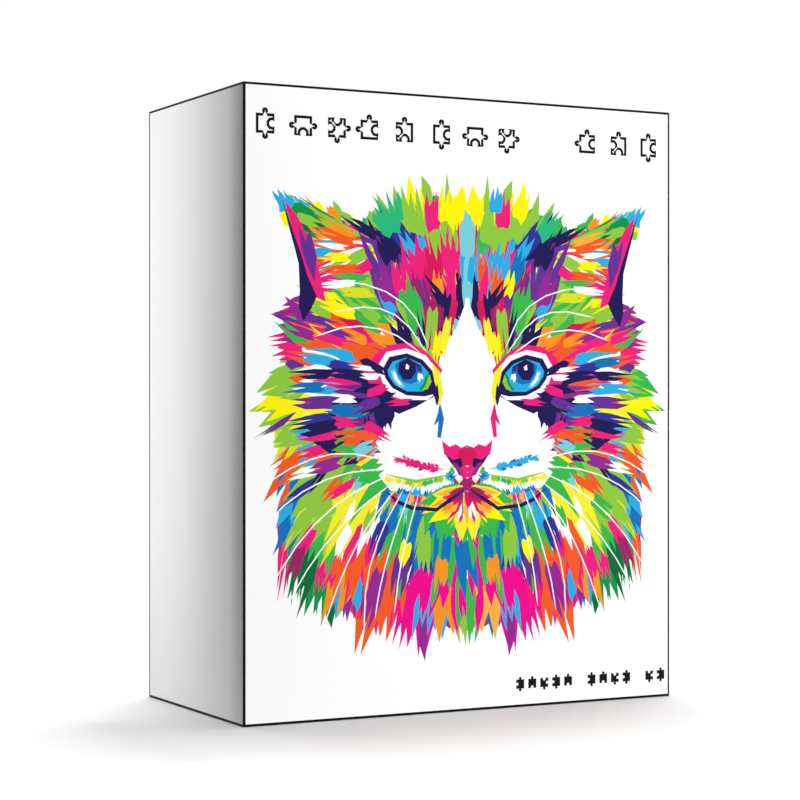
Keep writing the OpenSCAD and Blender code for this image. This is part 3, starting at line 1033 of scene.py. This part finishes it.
def lid_skin():
    """The printed wrap of the lid, with a thin black line along every edge of the box."""
    size = (BOX_HIGH.x - BOX_LOW.x, BOX_HIGH.y - BOX_LOW.y, BOX_HIGH.z)
    skin = Skin()
    skin.matrix = Matrix.Translation((0, BOX_LOW.y, 0)) @ Matrix.Rotation(math.pi / 2, 4, "X")
    margin = EDGE + KEYLINE
    half_w = size[0] / 2 - margin
    panel = [(-half_w, margin), (half_w, margin), (half_w, size[2] - margin), (-half_w, size[2] - margin)]
    points, triangles, inks = flatten(picture() + icon_rows(), panel)
    for triangle, ink in zip(triangles, inks):
        skin.face([(*points[v], 0) for v in triangle], ink)
    rings = [tray_ring(size, margin, 0, 0, 0)] + tray_rings(size, LID_TURN_IN)
    # The bands of faces that start on the panel's edge, on the wall and past the rim
    front, wall, rim = 6, 7, 12

    def ink_of(j, k):
        on_corner = k % CORNER_POINTS != CORNER_POINTS - 1
        lined = j < front or j == wall or (j < wall and on_corner) or wall < j < rim
        return "black" if lined else "white"

    skin.loft(rings, ink_of)
    skin.face(rings[-1][::-1], "white")
    return skin.make("lid_printed_wrap", "lid", ["lid_wrap"])


def base_skin():
    """The plain white wrap of the base."""
    size = BASE_HIGH - BASE_LOW
    skin = Skin()
    skin.matrix = (Matrix.Translation((0, BASE_HIGH.y, BASE_LOW.z)) @ Matrix.Rotation(math.pi, 4, "Z")
                   @ Matrix.Rotation(math.pi / 2, 4, "X"))
    rings = tray_rings(size, BASE_TURN_IN)
    skin.face(rings[0], "plain")
    skin.loft(rings, lambda j, k: "plain")
    skin.face(rings[-1][::-1], "plain")
    return skin.make("base_white_wrap", "base", ["base_wrap"])


# ---- Puzzle pieces ---------------------------------------
# The heap repeats the design's rules, in millimetres.

PIECE_W, PIECE_H, PIECE_T = 30, 27, 2
KNOB_R, KNOB_OUT = 4, 3
ROW_COUNTS = (7, 8, 9, 10, 11, 12, 11, 12, 11, 10, 11, 10, 9)
ROWS = len(ROW_COUNTS)
# Layers of the heap, from the back: pieces side by side, and pieces high
LAYERS = ((3, 4), (4, 4), (3, 4), (4, 4), (3, 4), (4, 3), (3, 3), (4, 3), (3, 3), (4, 2), (3, 2), (4, 1),
          (3, 1))
LAYER_PITCH, LAYER_LIFT, SLIP = 4.8, 15, 1
SLOT = PIECE_W + 2 * (KNOB_OUT + KNOB_R + SLIP) + 1
LEAN = math.asin((LAYER_PITCH - PIECE_T - 0.2) / 2 / math.hypot(PIECE_W * 0.75, PIECE_H / 2))
FILM, FILM_GAP = 0.3, 0.4
HEAP_BACK = BAG_HIGH.y - FILM_GAP
HEAP_FOOT = BAG_LOW.z + FILM + FILM_GAP
# The finished puzzle is larger than the picture on the box, where its foot is at this height
PUZZLE_SCALE = 0.56
PUZZLE_FOOT = 24
PIECE_BEVEL = 0.3


def heap_top(levels):
    """Height of the heap where it is so many pieces high."""
    return HEAP_FOOT + 2 * SLIP + levels * SLOT + LAYER_LIFT


def heap_depth(layers):
    return layers * LAYER_PITCH + 2 * FILM_GAP


def half_at(i):
    """Half width of the puzzle at the cut below row i."""
    if i in (0, ROWS):
        return PIECE_W / 4 * (2 * ROW_COUNTS[-1 if i else 0] - 1)
    return PIECE_W / 4 * (ROW_COUNTS[i - 1] + ROW_COUNTS[i])


def piece_x(i, j):
    """Middle of piece j of row i in the finished puzzle."""
    return (j - (ROW_COUNTS[i] - 1) / 2) * PIECE_W


def level_knob(i, x):
    """Whether the knob above row i at x points up (1) or down (-1)."""
    return 1 if (math.floor(4 * x / PIECE_W + 100) + 3 * i) % 5 < 3 else -1


def upright_knob(i, j):
    """Whether the knob between pieces j and j + 1 of row i points right (1) or left (-1)."""
    return 1 if (2 * i + 3 * j) % 7 < 4 else -1


def shared_half(i):
    """Half the width that row i shares with the row above it."""
    return min(ROW_COUNTS[i], ROW_COUNTS[i + 1]) * PIECE_W / 2


def cut_side(start, end, knobs, steps=12):
    """A side of a piece from its start to just before its end, with knobs as (middle, out or in)."""
    c, s = toward(start, end)
    neck = math.asin(KNOB_OUT / KNOB_R)
    side = [start]
    for (x, y), out in knobs:
        for k in range(steps + 1):
            a = math.pi + neck - (math.pi + 2 * neck) * k / steps
            u, v = KNOB_R * math.cos(a), out * (KNOB_OUT + KNOB_R * math.sin(a))
            side.append((x + u * c + v * s, y + u * s - v * c))
    return side


def piece_outline(i, j):
    """Outline of piece j of row i about its middle, anticlockwise."""
    x, last = piece_x(i, j), j == ROW_COUNTS[i] - 1
    left = [-half_at(i + up) - x if j == 0 else -PIECE_W / 2 for up in (0, 1)]
    right = [half_at(i + up) - x if last else PIECE_W / 2 for up in (0, 1)]
    low, high = -PIECE_H / 2, PIECE_H / 2
    quarters = (-PIECE_W / 4, PIECE_W / 4)
    below = [((dx, low), -level_knob(i - 1, x + dx)) for dx in quarters
             if i > 0 and abs(x + dx) < shared_half(i - 1)]
    above = [((dx, high), level_knob(i, x + dx)) for dx in quarters[::-1]
             if i < ROWS - 1 and abs(x + dx) < shared_half(i)]
    after = [] if last else [((PIECE_W / 2, 0), upright_knob(i, j))]
    before = [((-PIECE_W / 2, 0), -upright_knob(i, j - 1))] if j else []
    corners = [(left[0], low), (right[0], low), (right[1], high), (left[1], high)]
    ring = []
    for start, end, knobs in zip(corners, corners[1:] + corners[:1], (below, after, above, before)):
        ring += cut_side(start, end, knobs)
    return ring


def place_of(n, end):
    """Where piece number n lies in the heap. A piece from the end of a row only turns by quarters."""
    layer, rest = 0, n
    while rest >= LAYERS[layer][0] * LAYERS[layer][1]:
        rest -= LAYERS[layer][0] * LAYERS[layer][1]
        layer += 1
    columns = LAYERS[layer][0]
    level, column = divmod(rest, columns)
    x = (column - (columns - 1) / 2) * SLOT + SLIP * math.sin(math.radians(n * 131))
    y = HEAP_BACK - (layer + 0.5) * LAYER_PITCH
    z = HEAP_FOOT + SLIP + (level + 0.5) * SLOT + (LAYER_LIFT if columns == 3 else 0)
    z += SLIP * math.cos(math.radians(n * 77))
    turn = 90 * (n % 4) if end else (n * 97) % 360
    axis = math.radians(n * 61)
    lean = Matrix.Rotation(LEAN * math.sin(math.radians(n * 43)), 4, (math.cos(axis), 0, math.sin(axis)))
    upright = Matrix.Rotation(math.pi if n % 3 == 1 else 0, 4, "Z") @ Matrix.Rotation(math.pi / 2, 4, "X")
    return (Matrix.Translation((x, y, z)) @ lean @ upright @ Matrix.Rotation(math.radians(turn), 4, "Z")
            @ Matrix.Translation((0, 0, -PIECE_T / 2)))


def picture_on_piece(i, j, shapes, rings_low, rings_high):
    """The shapes of the picture that fall on piece j of row i, about its middle and at the puzzle's size."""
    middle = np.array((piece_x(i, j) * PUZZLE_SCALE, PUZZLE_FOOT + (i + 0.5) * PIECE_H * PUZZLE_SCALE))
    reach = (PIECE_W / 2 + KNOB_OUT + KNOB_R + 8) * PUZZLE_SCALE
    near = np.nonzero(((rings_high > middle - reach) & (rings_low < middle + reach)).all(axis=1))[0]
    return [(shapes[k][0], [((x - middle[0]) / PUZZLE_SCALE, (z - middle[1]) / PUZZLE_SCALE)
                            for x, z in shapes[k][1]]) for k in near]


def puzzle_pieces():
    """All 131 die-cut pieces, one object for each row of the finished puzzle."""
    shapes = picture()
    low = np.array([np.min(points, axis=0) for _, points in shapes])
    high = np.array([np.max(points, axis=0) for _, points in shapes])
    n = 0
    for i, count in enumerate(ROW_COUNTS):
        skin = Skin()
        for j in range(count):
            skin.matrix = place_of(n, j in (0, count - 1))
            add_plate(skin, picture_on_piece(i, j, shapes, low, high), piece_outline(i, j), PIECE_T,
                      "piece_edge", "piece_back", PIECE_BEVEL)
            n += 1
        row = "pieces_row_%02d" % (i + 1)
        skin.make("cut_" + row, "bag", [row])


# ---- Picture card ----------------------------------------

CARD_W, CARD_H, CARD_GAP = 180, 226, 0.6
CARD_SCALE = 0.86
CARD_BORDER, CARD_LINE, CARD_BEVEL = 4, 0.5, 0.1
PICTURE_MIDDLE = 124


def picture_card():
    """The card with the whole picture, leaning back on the bag."""
    lean = math.atan((heap_depth(13) - heap_depth(9)) / (heap_top(3) - heap_top(1)))
    skin = Skin()
    skin.matrix = (Matrix.Translation((0, BAG_HIGH.y - FILM - heap_depth(13) - CARD_GAP, heap_top(1)))
                   @ Matrix.Rotation(-lean, 4, "X")
                   @ Matrix.Translation((0, 0, (BAG_LOW.z - heap_top(1)) / math.cos(lean)))
                   @ Matrix.Rotation(math.pi / 2, 4, "X"))
    corners = [(right * CARD_W / 2, (1 + up) * CARD_H / 2) for right, up in CORNERS[3:] + CORNERS[:3]]
    line = offset_ring(corners, -CARD_BORDER)
    shapes = [("black", line), ("white", offset_ring(line, -CARD_LINE))]
    for ink, points in picture():
        shapes.append((ink, [(x * CARD_SCALE, (z - PICTURE_MIDDLE) * CARD_SCALE + CARD_H / 2)
                             for x, z in points]))
    add_plate(skin, shapes, corners, CARD_THICK, "white", "piece_back", CARD_BEVEL)
    return skin.make("card_with_picture", "card", ["picture_card"])


# ---- Bag -------------------------------------------------

SEAL_FOOT = heap_top(4) + 12
BAG_ACROSS, BAG_ALONG = 64, 16
BAG_CORNER = 5
RING_STEP, CRIMP_STEP = 2.4, 0.5
CRIMP_DEPTH = 0.12
# How far the film sinks between pieces at most, and how it draws in towards its foot
FOLD_DEPTH = 1.5
FOOT_HEIGHT, FOOT_SLOPE = 3, 0.4
# The cut edge above the seals, with its teeth
EDGE_HEIGHT, TOOTH = 1.2, 1.4


def bag_depth(z):
    """How far the front film stands off the back one at a height."""
    steps = [(heap_top(level), heap_depth(layers)) for level, layers in ((1, 13), (3, 9), (4, 5))]
    heights = [BAG_LOW.z] + [h for h, _ in steps] + [SEAL_FOOT, BAG_HIGH.z]
    depths = [steps[0][1]] + [d for _, d in steps] + [0, 0]
    return float(np.interp(z, heights, depths)) + FILM


def bag_section(z):
    """Half the width, the depth, the middle and the corners' radius of the film at a height."""
    depth = bag_depth(z) - FILM / 2
    return BAG_HIGH.x - FILM / 2, depth, BAG_HIGH.y + FILM / 2 - depth / 2, min(BAG_CORNER, depth / 2.2)


def creases(x, y, z):
    """Height of the film's sharp folds, from 0 to 1."""
    total = 0
    for scale, share in ((0.018, 0.5), (0.045, 0.3), (0.11, 0.2)):
        ridge = 1 - 2.2 * abs(noise.noise(Vector((x * scale, y * scale, z * scale * 0.8 + 7))))
        total += share * ridge ** 2
    return max(0, min(1, total))


def bag_ring(z):
    """The bag's outline at a height, anticlockwise from above."""
    half, depth, y, corner = bag_section(z)
    ring = []
    for k, (right, back) in enumerate(CORNERS):
        middle = (right * (half - corner), y + back * (depth / 2 - corner))
        start = (k - 1) * math.pi / 2
        arc = [turned((corner, 0), start + step * math.pi / 16) for step in range(9)]
        run, count = (2 * (half - corner), BAG_ACROSS) if k % 2 else (depth - 2 * corner, BAG_ALONG)
        end = arc[-1]
        for step in range(1, count):
            shift = turned((-run * step / count, 0), start)
            arc.append((end[0] + shift[0], end[1] + shift[1]))
        ring += [(middle[0] + dx, middle[1] + dy) for dx, dy in arc]
    return ring


def folded(x, y, z):
    """A point on the bag's side, pressed in by the film's folds and drawn in near the foot."""
    half, depth, middle, corner = bag_section(z)
    nx = math.copysign(max(0, 1 + (abs(x) - half) / BAG_CORNER), x)
    ny = math.copysign(max(0, 1 + (abs(y - middle) - depth / 2) / corner), y - middle)
    r = math.hypot(nx, ny) or 1
    push = min(FOLD_DEPTH, bag_depth(z) / 4) * creases(x, y, z)
    push += FOOT_SLOPE * max(0, FOOT_HEIGHT - (z - BAG_LOW.z))
    return x - nx / r * push, y - ny / r * push, z


def film_bag():
    """The sealed bag: one closed film round the heap, with crimped seals above it."""
    levels = [BAG_LOW.z + FILM / 2 + RING_STEP * k for k in range(int((SEAL_FOOT - BAG_LOW.z) / RING_STEP))]
    sealed = BAG_HIGH.z - EDGE_HEIGHT - SEAL_FOOT
    crimps = [SEAL_FOOT + CRIMP_STEP * k for k in range(int(sealed / CRIMP_STEP))]
    rings = [[folded(x, y, z) for x, y in bag_ring(z)] for z in levels]
    rings += [[(x, y + CRIMP_DEPTH * math.sin(z * math.pi), z) for x, y in bag_ring(z)] for z in crimps]
    rings.append([(x, y, BAG_HIGH.z - (0 if k % 2 else TOOTH)) for k, (x, y, z) in enumerate(rings[-1])])
    skin = Skin()
    skin.face(rings[0][::-1], "film")
    skin.loft(rings[::-1], lambda j, k: "film")
    skin.face(rings[-1], "film")
    return skin.make("film_bag", "bag", ["bag_front_film", "bag_back_film"], 60)


# ---- Everything ------------------------------------------

def finish_cad_nodes():
    """Board and tape keep their CAD shapes and get their materials."""
    for name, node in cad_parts.items():
        kind = "greyboard" if name.endswith("_board") else "tape" if "_corner_stay_" in name else None
        if kind:
            node.data.materials.clear()
            node.data.materials.append(MATERIALS[kind])


add_camera()
add_world()
add_lights(add_floor(), add_flag())
MATERIALS = make_materials()
lid_skin()
base_skin()
puzzle_pieces()
picture_card()
add_glints(film_bag())
finish_cad_nodes()
